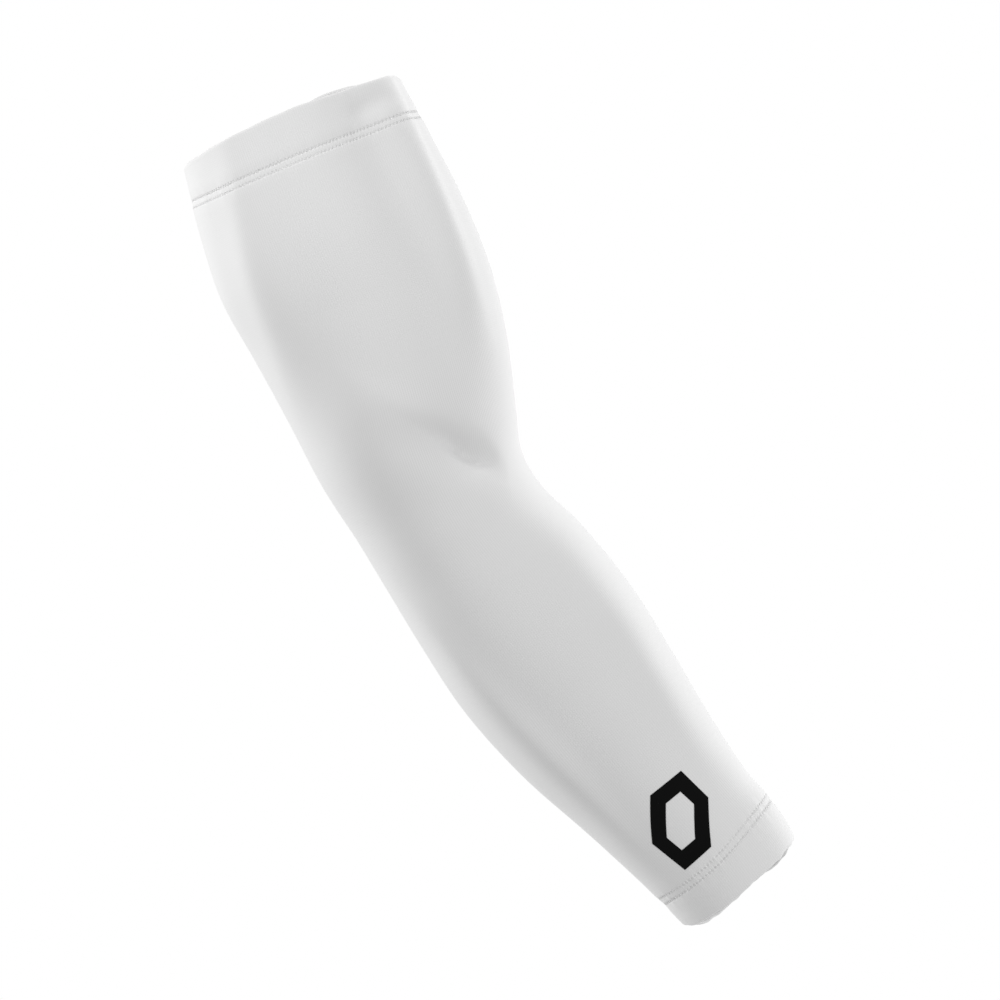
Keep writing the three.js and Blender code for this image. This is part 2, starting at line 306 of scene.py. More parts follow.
def section_table():
    """The section table in millimetres and degrees: over, fore, lean, half width, half depth."""
    rows = named(SECTION_COLUMNS, SECTIONS)
    sizes = [BODY_SIZES[row["size"]] for row in rows]
    values = [
        (
            row["over"] * WRIST_OFFSET,
            row["fore"] * size["depth"] * row["deep"],
            row["lean"] * FOREARM_LEAN,
            row["wide"] * size["width"] / 2,
            row["deep"] * size["depth"] / 2,
        )
        for row, size in zip(rows, sizes)
    ]
    return np.array([row["down"] for row in rows]), np.array(values)


SECTION_DOWNS, SECTION_VALUES = section_table()


def section_at(down):
    """Over, fore, lean in radians, half width and half depth of the arm at places down it."""
    values = smooth_through(SECTION_DOWNS, SECTION_VALUES, down)
    over, fore, lean, half_width, half_depth = np.moveaxis(values, -1, 0)
    return over, fore, np.radians(lean), half_width, half_depth


def turn_from(turn, middle):
    """The turn from a middle one, between -180 and 180 degrees."""
    return np.mod(turn - middle + 180, 360) - 180


def flat(turn, down):
    """A place laid flat: millimetres round the elbow, and along the arm."""
    return np.stack([np.radians(turn) * BODY_SIZES["elbow"]["width"] / 2, down * SLEEVE_DROP], axis=-1)


def fold_paths():
    """Each fold's path laid flat, as a smooth curve through its points with slack ends."""
    folds = named(FOLD_COLUMNS, FOLDS)
    for fold in folds:
        turns, downs = np.array(fold["path"], dtype=float).T
        at = np.linspace(0, len(turns) - 1, len(turns) * PATH_STEPS + 1)
        fold["points"] = smooth_through(np.arange(len(turns)), flat(turns, downs), at, end_share=0.5)
    return folds


FOLD_PATHS = fold_paths()


def fold_height(fold, point):
    """How high a fold stands: across its path a bell with its own reach on each side, and along
    the path a half wave, to the fade's power, from end to end."""
    start = fold["points"][:-1]
    run = np.diff(fold["points"], axis=0)
    offset = point[..., None, :] - start
    along = np.clip((offset * run).sum(-1) / (run * run).sum(-1), 0, 1)
    distance = np.linalg.norm(offset - along[..., None] * run, axis=-1)
    side = run[:, 0] * offset[..., 1] - run[:, 1] * offset[..., 0]
    nearest = distance.argmin(-1)[..., None]
    along, distance, side = (np.take_along_axis(a, nearest, -1)[..., 0] for a in (along, distance, side))
    share = (nearest[..., 0] + along) / len(run)
    reach = CREASE_REACH * np.where(side > 0, fold["above"], fold["below"])
    fade = np.clip(np.sin(np.pi * share), 0, None) ** FADE_POWER
    return fold["height"] * CREASE_DEPTH * fade * bell(distance, reach)


def swell(hem, column, turn):
    """How far a hem's rim or stitched line stands out at a turn: its depth times a sum of bells."""
    rows = named(SWELL_COLUMNS, hem["swells"])
    bells = (row[column] * bell(turn_from(turn, row["turn"]), row["reach"]) for row in rows)
    return hem["depth"] * sum(bells)


def waves(rows, turn):
    """A sum of waves round the arm."""
    angle = np.radians(turn)
    rows = named(WAVE_COLUMNS, rows)
    return sum(row["height"] * np.sin(row["count"] * angle + row["phase"]) for row in rows)


def rim_down(hem, turn):
    """The place of a hem's rim, down the arm."""
    out = swell(hem, "rim", turn) + waves(hem["rim_waves"], turn)
    return hem["rim"] + hem["outward"] * out / SLEEVE_DROP


def seam_down(hem, turn):
    """The place of a hem's first row of stitching, down the arm."""
    return hem["rim"] + hem["outward"] * (swell(hem, "seam", turn) - hem["depth"]) / SLEEVE_DROP


def from_first_row(hem, down, turn):
    """Millimetres up the arm's cloth from a hem's first row, below nought on the hem's band."""
    return -hem["outward"] * (down - seam_down(hem, turn)) * SLEEVE_DROP


def relief(down, turn):
    """How far the cloth stands out from its plain section: the folds, less the stitching's pull."""
    point = flat(turn_from(turn, FRONT_TURN) + FRONT_TURN, down)
    folds = sum(fold_height(fold, point) for fold in FOLD_PATHS)
    pinch = sum(bell(from_first_row(hem, down, turn), PINCH_REACH) for hem in HEMS.values())
    return folds - pinch * PINCH_DEPTH


def skin(down, turn):
    """The outer face of the cloth: an ellipse from the section table, raised by the relief, turned
    by its lean about the Y axis and moved to its centre."""
    over, fore, lean, half_width, half_depth = section_at(down)
    angle = np.radians(turn)
    rise = relief(down, turn)
    across = (half_width + rise) * np.cos(angle)
    front = (half_depth + rise) * np.sin(angle)
    return np.stack(
        [over + across * np.cos(lean), -fore - front, -down * SLEEVE_DROP + across * np.sin(lean)], axis=-1
    )


def unit(vectors):
    """Vectors drawn to a length of one."""
    return vectors / np.linalg.norm(vectors, axis=-1, keepdims=True)


def under(down, turn, depth):
    """A point at a depth under the outer face: the face less its normal times the depth. The
    normal is the cross product of two short steps, round the arm and down it."""
    down, turn, depth = np.broadcast_arrays(down, turn, depth)
    around = skin(down, turn + SLOPE_STEP["turn"]) - skin(down, turn - SLOPE_STEP["turn"])
    along = skin(down + SLOPE_STEP["down"], turn) - skin(down - SLOPE_STEP["down"], turn)
    return skin(down, turn) - depth[..., None] * unit(np.cross(around, along))


def seam_distance(down, turn):
    """Millimetres round the arm from the back seam."""
    return np.radians(turn_from(turn, SEAM_TURN)) * section_at(down)[3]


class HemLine:
    """A hem's first row of stitching, measured along the cloth, and the stitches that fit it."""

    def __init__(self, hem, stitch_length):
        turns = np.linspace(SEAM_TURN, SEAM_TURN + 360, LINE_STEPS + 1)
        points = skin(seam_down(hem, turns), turns)
        steps = np.linalg.norm(np.diff(points, axis=0), axis=-1)
        self.turns = turns
        self.lengths = np.concatenate([[0], np.cumsum(steps)])
        self.length = self.lengths[-1]
        self.stitches = round(self.length / stitch_length)
        self.pitch = self.length / self.stitches

    def turn_at(self, run):
        """The turn at millimetres along the line from the back seam."""
        return np.interp(run, self.lengths, self.turns)

    def run_at(self, turn):
        """Millimetres along the line from the back seam at a turn."""
        return np.interp(SEAM_TURN + np.mod(turn - SEAM_TURN, 360), self.turns, self.lengths)


def fine_relief(down, turn, lines):
    """The cloth's fine relief: along each hem two grooves with a pit at each stitch's end, a puff
    of cloth on both sides and small puckers, and at the back the low flat-topped welt of the seam."""
    welt = (seam_distance(down, turn) / SEAM_HALF_WIDTH) ** SEAM_SQUARENESS
    total = SEAM_HEIGHT * np.exp(-welt)
    for name, hem in HEMS.items():
        up = from_first_row(hem, down, turn)
        line = lines[name]
        phase = line.run_at(turn) / line.pitch
        to_pit = np.abs(np.mod(phase + 0.5, 1) - 0.5) * line.pitch
        middle = up - ROW_GAP / 2
        for row, share in enumerate(ROW_SHARES):
            groove = bell(up - row * ROW_GAP, GROOVE_REACH)
            total = total - share * groove * (GROOVE_DEPTH + PIT_DEPTH * bell(to_pit, PIT_REACH))
        total = total + PUFF_HEIGHT * bell(np.abs(middle) - PUFF_OFFSET, PUFF_REACH)
        total = total + waves(hem["puckers"], turn) * bell(middle, PUCKER_REACH)
    return total


def cloth(down, turn, height, lines):
    """A point at a height above the finely modelled outer face of the cloth."""
    return under(down, turn, -height - fine_relief(down, turn, lines))


def hem_lines(context):
    """The measured first rows of both hems, for the stitch length that the settings give."""
    length = context.scene.sleeve_stitching.stitch_length / MM
    return {name: HemLine(hem, length) for name, hem in HEMS.items()}


def put_mesh(name, points, faces, material, cloth_places=None):
    """A mesh object from points in millimetres, with smooth faces and an optional place on the
    cloth, in metres, for each corner of each face."""
    mesh = bpy.data.meshes.new(name)
    mesh.from_pydata(points * MM, [], faces)
    if cloth_places is not None:
        layer = mesh.uv_layers.new(name="cloth")
        layer.data.foreach_set("uv", (cloth_places * MM).ravel())
    mesh.shade_smooth()
    mesh.set_sharp_from_angle(angle=math.radians(SHARP_ANGLE))
    mesh.materials.append(material)
    mesh.validate()
    piece = bpy.data.objects.new(name, mesh)
    bpy.context.collection.objects.link(piece)
    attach(piece, "root")
    return piece


def closed_band(points, around=None, along=None):
    """Faces that close a grid of points both ways, and the cloth place of each face corner.
    Points run down the outer face from row to row and round the arm from column to column."""
    rows, columns = points.shape[:2]
    row, column = np.meshgrid(np.arange(rows), np.arange(columns), indexing="ij")
    below, beside = (row + 1) % rows, (column + 1) % columns
    upper, lower = row * columns, below * columns
    corners = np.stack([upper + column, upper + beside, lower + beside, lower + column], -1)
    faces = corners.reshape(-1, 4)
    if around is None:
        return faces, None
    places = np.stack(
        [
            np.stack([around[row, column], along[row, column]], -1),
            np.stack([around[row, column + 1], along[row, beside]], -1),
            np.stack([around[below, column + 1], along[below, beside]], -1),
            np.stack([around[below, column], along[below, column]], -1),
        ],
        axis=2,
    )
    return faces, places.reshape(-1, 2)


def around_cloth(points, turns):
    """Millimetres round each ring of points, from the front: running sums of the steps, less the
    sum at the front. It has one column more than the ring, for the ring's end."""
    ring = np.concatenate([points, points[:, :1]], axis=1)
    steps = np.linalg.norm(np.diff(ring, axis=1), axis=-1)
    sums = np.concatenate([np.zeros((len(points), 1)), np.cumsum(steps, axis=1)], axis=1)
    front = np.abs(turns - FRONT_TURN - 360).argmin()
    return sums - sums[:, front : front + 1]


def band_piece(name, downs, turns, depths, lines, fine, material):
    """A closed band of cloth round the arm: rows of places down it at their depths, the rows
    marked fine raised by the fine relief."""
    rise = np.zeros_like(downs)
    rise[fine] = fine_relief(downs[fine], np.broadcast_to(turns, downs.shape)[fine], lines)
    points = under(downs, turns, depths[:, None] - rise)
    around = around_cloth(points, turns)
    faces, places = closed_band(points, around, downs * SLEEVE_DROP)
    return put_mesh(name, points.reshape(-1, 3), faces, material, places)


def hem_rows(hem, turns):
    """The rows of a hem's profile, from where the tube begins, over the stitching to the rim, round
    the fold and up the inside to the raw edge and back: places down, depths and which are fine."""
    seam, rim = seam_down(hem, turns), rim_down(hem, turns)
    thickness, lap = 2 * KNIT_WALL + CLEARANCE, KNIT_WALL + CLEARANCE
    band = ROW_GAP / 2

    def up(distance):
        return seam - hem["outward"] * distance / SLEEVE_DROP

    rows = [(up(distance), 0, True) for distance in np.arange(HEM_RUN_ON, -band, -ROW_STEP)]
    shares = np.linspace(0, 1, FLAT_ROWS + 1)
    edge = rim - hem["outward"] * (thickness / 2) / SLEEVE_DROP
    rows += [(up(-band) + (edge - up(-band)) * share, 0, True) for share in shares]
    for angle in np.linspace(0, np.pi, FOLD_ROWS + 1)[1:-1]:
        out = hem["outward"] * (thickness / 2) * np.sin(angle) / SLEEVE_DROP
        rows.append((edge + out, thickness / 2 * (1 - np.cos(angle)), False))
    end = up(FACING_LAP)
    shares = np.linspace(0, 1, FACING_ROWS + 1)
    rows += [(edge + (end - edge) * share, thickness, False) for share in shares]
    rows.append((end, (thickness + lap) / 2, False))
    rows.append((end, lap, False))
    rows.append((up(HEM_RUN_ON), lap, False))
    if hem["outward"] < 0:
        rows.reverse()
    downs, depths, fine = zip(*rows)
    return np.array(downs), np.array(depths, dtype=float), np.array(fine)


def thread(place, run, across, height, radius, sides):
    """Closed threads on the cloth, one for each row of run: rings round a path, each ring in the
    plane of the cloth's normal and the direction across the path, with a point at both ends.
    place(run, across, height) gives points, and radius is the thread's, ring by ring."""
    centre = place(run, across, height)
    normal = unit(place(run, across, height + NORMAL_STEP) - centre)
    ahead = unit(np.gradient(centre, axis=1))
    beside = unit(np.cross(ahead, normal))
    angle = np.linspace(0, 2 * np.pi, sides, endpoint=False)
    spoke = beside[:, :, None] * np.cos(angle)[:, None] + normal[:, :, None] * np.sin(angle)[:, None]
    rings = centre[:, :, None] + radius[:, None, None] * spoke
    count, steps = centre.shape[:2]
    tips = [centre[:, :1] - ahead[:, :1] * radius[0], centre[:, -1:] + ahead[:, -1:] * radius[-1]]
    points = np.concatenate([tips[0], rings.reshape(count, -1, 3), tips[1]], axis=1)
    step, side = np.meshgrid(np.arange(steps - 1), np.arange(sides), indexing="ij")
    near, far = 1 + step * sides, 1 + (step + 1) * sides
    following = (side + 1) % sides
    walls = np.stack([near + side, near + following, far + following, far + side], -1).reshape(-1, 4)
    ring = np.arange(sides)
    last = 1 + (steps - 1) * sides
    start = np.stack([np.zeros(sides, int), 1 + (ring + 1) % sides, 1 + ring], -1)
    finish = np.stack([np.full(sides, last + sides), last + ring, last + (ring + 1) % sides], -1)
    first = np.arange(count)[:, None, None] * points.shape[1]
    faces = [(first + part).reshape(-1, part.shape[-1]).tolist() for part in (walls, start, finish)]
    return points.reshape(-1, 3), faces[0] + faces[1] + faces[2]


def joined(threads):
    """Several sets of points and faces as one."""
    points, faces = [], []
    total = 0
    for some_points, some_faces in threads:
        faces += [tuple(corner + total for corner in face) for face in some_faces]
        points.append(some_points)
        total += len(some_points)
    return np.concatenate(points), faces


def needle_stitches(place, starts, across, pitch, width):
    """Straight stitches end to end: each lies on the cloth, and its ends go down into the pits."""
    share = np.array(STITCH_SHARES)
    bow = ((share - 0.5) / (share[-1] - 0.5)) ** 4
    run = starts[:, None] + pitch * share
    height = np.broadcast_to(width * STITCH_LIFT - (PIT_DEPTH + width) * bow, run.shape)
    radius = width / 2 * (1 - STITCH_THINNING * bow)
    return thread(place, run, np.full(run.shape, across), height, radius, NEEDLE_SIDES)


def looper_thread(place, start, end, low, high, count, height, width):
    """One thread that goes to and fro between two rows, once over and back for each stitch."""
    steps = count * 4
    share = np.linspace(0, 1, steps + 1)
    sway = np.sin(2 * np.pi * count * share)
    run = (start + (end - start) * share)[None]
    across = ((low + high) / 2 + (high - low) / 2 * sway)[None]
    radius = np.full(steps + 1, width / 2)
    return thread(place, run, across, np.full(run.shape, height), radius, LOOPER_SIDES)


def add_node(tree, kind, inputs, **settings):
    """Adds a node with its settings, and sets or links its inputs."""
    node = tree.nodes.new(kind)
    for name, value in settings.items():
        setattr(node, name, value)
    for name, value in inputs.items():
        if isinstance(value, bpy.types.NodeSocket):
            tree.links.new(value, node.inputs[name])
        else:
            node.inputs[name].default_value = value
    return node


def new_material(name):
    """An empty node material and its tree."""
    material = bpy.data.materials.new(name)
    material.use_nodes = True
    material.node_tree.nodes.clear()
    return material, material.node_tree


def jersey(name, settings):
    """Smooth jersey of polyester and elastane, knitted, left unbrushed and dyed white. To the
    eye: a matte face, fine ribs of loops that run down the arm, a soft sheen where it turns away
    and a faint cloudiness where the knit lies denser. The loops are about 0.5 mm wide and would
    not show, so they are drawn as wide as the settings say."""
    material, tree = new_material(name)
    place = add_node(tree, "ShaderNodeUVMap", {}, uv_map="cloth").outputs["UV"]
    spot = add_node(tree, "ShaderNodeTexCoord", {}).outputs["Object"]
    # One wave of the wave texture is pi / 10 divided by its scale
    wave = math.pi / 10
    wales = add_node(
        tree, "ShaderNodeTexWave",
        {
            "Vector": place,
            "Scale": wave / settings.wale_pitch,
            "Distortion": 0.6,
            "Detail": 1.0,
            "Detail Scale": 0.35,
        },
        wave_type="BANDS", bands_direction="X", wave_profile="SIN",
    )
    courses = add_node(
        tree, "ShaderNodeTexWave",
        {
            "Vector": place,
            "Scale": wave / settings.course_pitch,
            "Distortion": 0.8,
            "Detail": 1.0,
            "Detail Scale": 0.35,
        },
        wave_type="BANDS", bands_direction="Y", wave_profile="SIN",
    )
    loops = add_node(
        tree, "ShaderNodeMix",
        {"Factor": 0.3, "A": wales.outputs["Fac"], "B": courses.outputs["Fac"]},
    )
    # Clouds about 36 mm across
    clouds = add_node(
        tree, "ShaderNodeTexNoise",
        {"Vector": spot, "Scale": 28.0, "Detail": 3.0, "Roughness": 0.55},
    )
    shade = [channel * 0.965 for channel in settings.colour]
    tone = add_node(
        tree, "ShaderNodeMix",
        {"Factor": clouds.outputs["Fac"], "A": (*shade, 1), "B": (*settings.colour, 1)},
        data_type="RGBA",
    )
    # Painted shade: the colour is up to 5% darker in the hollows between the loops, where the bump is
    # lowest
    painted_loop_shade = add_node(
        tree, "ShaderNodeMapRange",
        {"Value": loops.outputs["Result"], "To Min": 0.95, "To Max": 1.0},
    )
    colour = add_node(
        tree, "ShaderNodeMix",
        {"Factor": 1.0, "A": tone.outputs["Result"], "B": painted_loop_shade.outputs["Result"]},
        data_type="RGBA", blend_type="MULTIPLY",
    )
    bump = add_node(
        tree, "ShaderNodeBump",
        {"Height": loops.outputs["Result"], "Distance": settings.loop_height, "Strength": 0.6},
    )
    shader = add_node(
        tree, "ShaderNodeBsdfPrincipled",
        {
            "Base Color": colour.outputs["Result"],
            "Normal": bump.outputs["Normal"],
            "Roughness": 0.88,
            "Specular IOR Level": 0.25,
            "Sheen Weight": 0.12,
            "Sheen Roughness": 0.5,
        },
    )
    add_node(tree, "ShaderNodeOutputMaterial", {"Surface": shader.outputs["BSDF"]})
    return material


def sewing_thread(name, settings):
    """Spun polyester sewing thread, dyed white: a little brighter and smoother than the knit, with
    a fine twist. The twist of 0.3 mm would not show, so it is drawn at 0.5 mm."""
    material, tree = new_material(name)
    spot = add_node(tree, "ShaderNodeTexCoord", {}).outputs["Object"]
    twist = add_node(
        tree, "ShaderNodeTexWave",
        {"Vector": spot, "Scale": math.pi / 10 / (0.5 * MM), "Distortion": 1.0},
        wave_type="BANDS", bands_direction="DIAGONAL",
    )
    bump = add_node(
        tree, "ShaderNodeBump",
        {"Height": twist.outputs["Fac"], "Distance": 0.03 * MM, "Strength": 0.5},
    )
    # Painted shade: the colour is 10% darker in the grooves of the twist, where the bump is lowest
    shade = [channel * 0.9 for channel in settings.colour]
    colour = add_node(
        tree, "ShaderNodeMix",
        {"Factor": twist.outputs["Fac"], "A": (*shade, 1), "B": (*settings.colour, 1)},
        data_type="RGBA",
    )
    shader = add_node(
        tree, "ShaderNodeBsdfPrincipled",
        {
            "Base Color": colour.outputs["Result"],
            "Normal": bump.outputs["Normal"],
            "Roughness": 0.6,
            "Sheen Weight": 0.1,
        },
    )
    add_node(tree, "ShaderNodeOutputMaterial", {"Surface": shader.outputs["BSDF"]})
    return material


def transfer_film(name, settings):
    """Heat-transfer film of polyurethane, pressed flat on the knit: an even matte black, through
    which the ribs of the knit show as a faint grain."""
    material, tree = new_material(name)
    spot = add_node(tree, "ShaderNodeTexCoord", {}).outputs["Object"]
    # Grain of 0.7 mm, and patches of dust 11 mm across
    grain = add_node(tree, "ShaderNodeTexNoise", {"Vector": spot, "Scale": 1400.0, "Detail": 2.0})
    dust = add_node(tree, "ShaderNodeTexNoise", {"Vector": spot, "Scale": 90.0, "Detail": 3.0})
    bump = add_node(
        tree, "ShaderNodeBump",
        {"Height": grain.outputs["Fac"], "Distance": 0.03 * MM, "Strength": 0.4},
    )
    shade = [channel * 1.5 + 0.0005 for channel in settings.colour]
    colour = add_node(
        tree, "ShaderNodeMix",
        {"Factor": dust.outputs["Fac"], "A": (*settings.colour, 1), "B": (*shade, 1)},
        data_type="RGBA",
    )
    shader = add_node(
        tree, "ShaderNodeBsdfPrincipled",
        {
            "Base Color": colour.outputs["Result"],
            "Normal": bump.outputs["Normal"],
            "Roughness": 0.7,
            "Specular IOR Level": 0.08,
        },
    )
    add_node(tree, "ShaderNodeOutputMaterial", {"Surface": shader.outputs["BSDF"]})
    return material


def studio_paper(name, settings):
    """Matte white background paper, laid as a floor: an even pale face with a faint fibre."""
    material, tree = new_material(name)
    spot = add_node(tree, "ShaderNodeTexCoord", {}).outputs["Object"]
    # Fibres of 4 mm
    fibre = add_node(tree, "ShaderNodeTexNoise", {"Vector": spot, "Scale": 260.0, "Detail": 4.0})
    bump = add_node(
        tree, "ShaderNodeBump",
        {"Height": fibre.outputs["Fac"], "Distance": 0.1 * MM, "Strength": 0.2},
    )
    shader = add_node(
        tree, "ShaderNodeBsdfPrincipled",
        {
            "Base Color": (*settings.floor_colour, 1),
            "Normal": bump.outputs["Normal"],
            "Roughness": 0.95,
            "Specular IOR Level": 0.1,
            "Emission Color": (1, 1, 1, 1),
            "Emission Strength": settings.floor_glow,
        },
    )
    add_node(tree, "ShaderNodeOutputMaterial", {"Surface": shader.outputs["BSDF"]})
    return material


class SleeveClothSettings(bpy.types.PropertyGroup):
    """The knit"""

    colour: FloatVectorProperty(
        name="Colour", description="Colour of the knit", subtype="COLOR",
        min=0, max=1, default=linear("#F0F0F0"),
    )
    wale_pitch: FloatProperty(
        name="Rib width", description="Width of one rib of loops as it is drawn",
        unit="LENGTH", default=1.1 * MM,
    )
    course_pitch: FloatProperty(
        name="Loop height", description="Height of one row of loops as it is drawn",
        unit="LENGTH", default=0.9 * MM,
    )
    loop_height: FloatProperty(
        name="Loop relief", description="How far the loops stand out", unit="LENGTH", default=0.05 * MM
    )


class SleeveStitchingSettings(bpy.types.PropertyGroup):
    """The sewing"""

    colour: FloatVectorProperty(
        name="Colour", description="Colour of the thread", subtype="COLOR",
        min=0, max=1, default=linear("#EEEEEE"),
    )
    stitch_length: FloatProperty(
        name="Stitch length", description="From needle hole to needle hole", unit="LENGTH", default=1.9 * MM
    )
    thread_width: FloatProperty(
        name="Thread width", description="Diameter of the thread", unit="LENGTH", default=0.3 * MM
    )


class SleevePrintSettings(bpy.types.PropertyGroup):
    """The print"""

    colour: FloatVectorProperty(
        name="Colour", description="Colour of the film", subtype="COLOR",
        min=0, max=1, default=linear("#020202"),
    )
    lift: FloatProperty(
        name="Lift", description="How far the film's underside stands off the knit",
        unit="LENGTH", default=0.03 * MM,
    )
    thickness: FloatProperty(
        name="Thickness", description="Thickness of the film", unit="LENGTH", default=0.12 * MM
    )
    steps: IntProperty(
        name="Steps", description="Steps along each side of the frame", default=24, min=4, max=80
    )


class SleeveStudioSettings(bpy.types.PropertyGroup):
    """The studio"""

    floor_colour: FloatVectorProperty(
        name="Floor", description="Colour of the floor", subtype="COLOR",
        min=0, max=1, default=linear("#F4F4F4"),
    )
    floor_height: FloatProperty(
        name="Floor height", description="Height of the floor", unit="LENGTH", default=-1.9
    )
    floor_radius: FloatProperty(
        name="Floor size", description="Radius of the floor", unit="LENGTH", default=12.0
    )
    floor_glow: FloatProperty(
        name="Floor glow", description="Light that the paper gives off, as if lit from under it",
        default=0.42, min=0,
    )
    air: FloatProperty(
        name="Room light", description="Strength of the light from all round", default=0.458, min=0
    )
    brightness: FloatProperty(
        name="Brightness", description="Share of every lamp's power", default=1.0, min=0
    )


class SLEEVE_OT_knit_tube(bpy.types.Operator):
    """Make the knit tube between the two hems, with its elbow folds and its flat seam at the back"""

    bl_idname = "sleeve.knit_tube"
    bl_label = "Knit Tube"
    bl_options = {"REGISTER", "UNDO"}

    def execute(self, context):
        lines = hem_lines(context)
        turns = SEAM_TURN + 360 * stations(TUBE_COLUMNS, SEAM_CROWDS)[:-1]
        start = seam_down(HEMS["upper"], turns) + HEM_RUN_ON / SLEEVE_DROP
        end = seam_down(HEMS["lower"], turns) - HEM_RUN_ON / SLEEVE_DROP
        outside = stations(TUBE_ROWS, TUBE_CROWDS)
        inside = np.linspace(1, 0, TUBE_INSIDE_ROWS + 1)
        shares = np.concatenate([outside, inside])[:, None]
        fine = np.arange(len(shares)) <= TUBE_ROWS
        depths = np.where(fine, 0.0, KNIT_WALL)
        material = jersey("white_jersey", context.scene.sleeve_cloth)
        downs = start + (end - start) * shares
        piece = band_piece("knit_tube", downs, turns, depths, lines, fine, material)
        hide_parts("sleeve_body")
        return {"FINISHED"}


class SLEEVE_OT_hems(bpy.types.Operator):
    bl_idname = "sleeve.hems"
    bl_label = "Hems"
    bl_options = {"REGISTER", "UNDO"}

    def execute(self, context):
        lines = hem_lines(context)
        material = bpy.data.materials["white_jersey"]
        for name, hem in HEMS.items():
            line = lines[name]
            columns = line.stitches * STITCH_COLUMNS
            turns = line.turn_at(np.arange(columns) * line.length / columns)
            downs, depths, fine = hem_rows(hem, turns)
            piece = band_piece(f"{name}_hem", downs, turns, depths, lines, fine, material)
            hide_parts(hem["node"])
        return {"FINISHED"}


class SLEEVE_OT_hem_stitching(bpy.types.Operator):
    """Sew both hems: two rows of needle thread outside and the looper thread inside"""

    bl_idname = "sleeve.hem_stitching"
    bl_label = "Hem Stitching"
    bl_options = {"REGISTER", "UNDO"}

    def execute(self, context):
        settings = context.scene.sleeve_stitching
        lines = hem_lines(context)
        width = settings.thread_width / MM
        material = sewing_thread("white_polyester_thread", settings)
        inside = 2 * KNIT_WALL + CLEARANCE + width / 2
        for name, hem in HEMS.items():
            line = lines[name]

            def on_top(run, across, height, hem=hem, line=line):
                turn = line.turn_at(np.mod(run, line.length))
                down = seam_down(hem, turn) - hem["outward"] * across / SLEEVE_DROP
                return under(down, turn, GROOVE_DEPTH - height)

            def below(run, across, height, hem=hem, line=line):
                turn = line.turn_at(np.mod(run, line.length))
                down = seam_down(hem, turn) - hem["outward"] * across / SLEEVE_DROP
                return under(down, turn, height)

            starts = np.arange(line.stitches) * line.pitch
            threads = [
                needle_stitches(on_top, starts, row * ROW_GAP, line.pitch, width)
                for row in range(len(ROW_SHARES))
            ]
            threads.append(
                looper_thread(below, 0, line.length, 0, ROW_GAP, line.stitches, inside, width)
            )
            points, faces = joined(threads)
            piece = put_mesh(hem["stitching"], points, faces, material)
        return {"FINISHED"}


class SLEEVE_OT_back_seam(bpy.types.Operator):
    """Sew the flat seam at the back: two rows of needle thread and a covering thread between them"""

    bl_idname = "sleeve.back_seam"
    bl_label = "Back Seam"
    bl_options = {"REGISTER", "UNDO"}

    def execute(self, context):
        settings = context.scene.sleeve_stitching
        lines = hem_lines(context)
        width = settings.thread_width / MM
        start = rim_down(HEMS["upper"], SEAM_TURN)
        length = (rim_down(HEMS["lower"], SEAM_TURN) - start) * SLEEVE_DROP
        count = round(length / SEAM_STITCH)

        def on_seam(run, across, height):
            down = start + run / SLEEVE_DROP
            turn = SEAM_TURN + np.degrees(across / section_at(down)[3])
            return cloth(down, turn, height, lines)

        starts = (np.arange(count - 2) + 1) * length / count
        rows = [
            needle_stitches(on_seam, starts, side * SEAM_ROW, length / count, width)
            for side in (-1, 1)
        ]
        ends = starts[0], starts[-1]
        cover = looper_thread(on_seam, *ends, -SEAM_ROW, SEAM_ROW, count - 3, width * 0.3, width * 0.8)
        points, faces = joined([*rows, cover])
        piece = put_mesh("back_seam_stitching", points, faces, bpy.data.materials["white_polyester_thread"])
        return {"FINISHED"}


class SLEEVE_OT_print_frame(bpy.types.Operator):
    """Press the plain six-sided frame of film onto the cloth near the wrist"""

    bl_idname = "sleeve.print_frame"
    bl_label = "Print"
    bl_options = {"REGISTER", "UNDO"}

    def execute(self, context):
        settings = context.scene.sleeve_print
        lines = hem_lines(context)
        shape = np.array([(0, 1), (1, 0.5), (1, -0.5), (0, -1), (-1, -0.5), (-1, 0.5)])
        outer = shape * (PRINT_WIDTH / 2, PRINT_HEIGHT / 2)
        inner = mitred(outer, PRINT_STROKE)
        share = np.arange(settings.steps) / settings.steps
        along = [(ring + (np.roll(ring, -1, 0) - ring) * share[:, None, None]) for ring in (outer, inner)]
        along = [side.transpose(1, 0, 2).reshape(-1, 2) for side in along]
        across = np.linspace(0, 1, PRINT_STEPS_ACROSS + 1)[:, None, None]
        top = along[0] + (along[1] - along[0]) * across
        outline = np.concatenate([top, top[::-1]])
        low, high = settings.lift / MM, (settings.lift + settings.thickness) / MM
        height = np.where(np.arange(len(outline)) < len(top), high, low)[:, None]
        points = print_points(outline[..., 0], outline[..., 1], height, lines)
        faces, _ = closed_band(points)
        material = transfer_film("black_transfer_film", settings)
        piece = put_mesh("print_frame", points.reshape(-1, 3), faces, material)
        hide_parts("wrist_mark")
        return {"FINISHED"}


def mitred(corners, distance):
    """A closed outline drawn in by a distance: each corner moves along the middle of its two
    sides' inward normals, by the distance over the cosine between them."""
    before = unit(corners - np.roll(corners, 1, axis=0))
    after = unit(np.roll(corners, -1, axis=0) - corners)
    middle = unit(before + after)
    inward = np.stack([middle[:, 1], -middle[:, 0]], axis=-1)
    return corners + inward * distance / (middle * after).sum(-1, keepdims=True)


def print_points(x, y, height, lines):
    """Points of the print: its flat drawing turned by its tilt and wrapped round the cloth."""
    tilt = math.radians(PRINT_TILT)
    around = x * math.cos(tilt) + y * math.sin(tilt)
    along = y * math.cos(tilt) - x * math.sin(tilt)
    centre = seam_down(HEMS["lower"], PRINT_TURN) - PRINT_TO_STITCHING / SLEEVE_DROP
    turn = PRINT_TURN - np.degrees(around / section_at(centre)[3])
    return cloth(centre - along / SLEEVE_DROP, turn, height, lines)


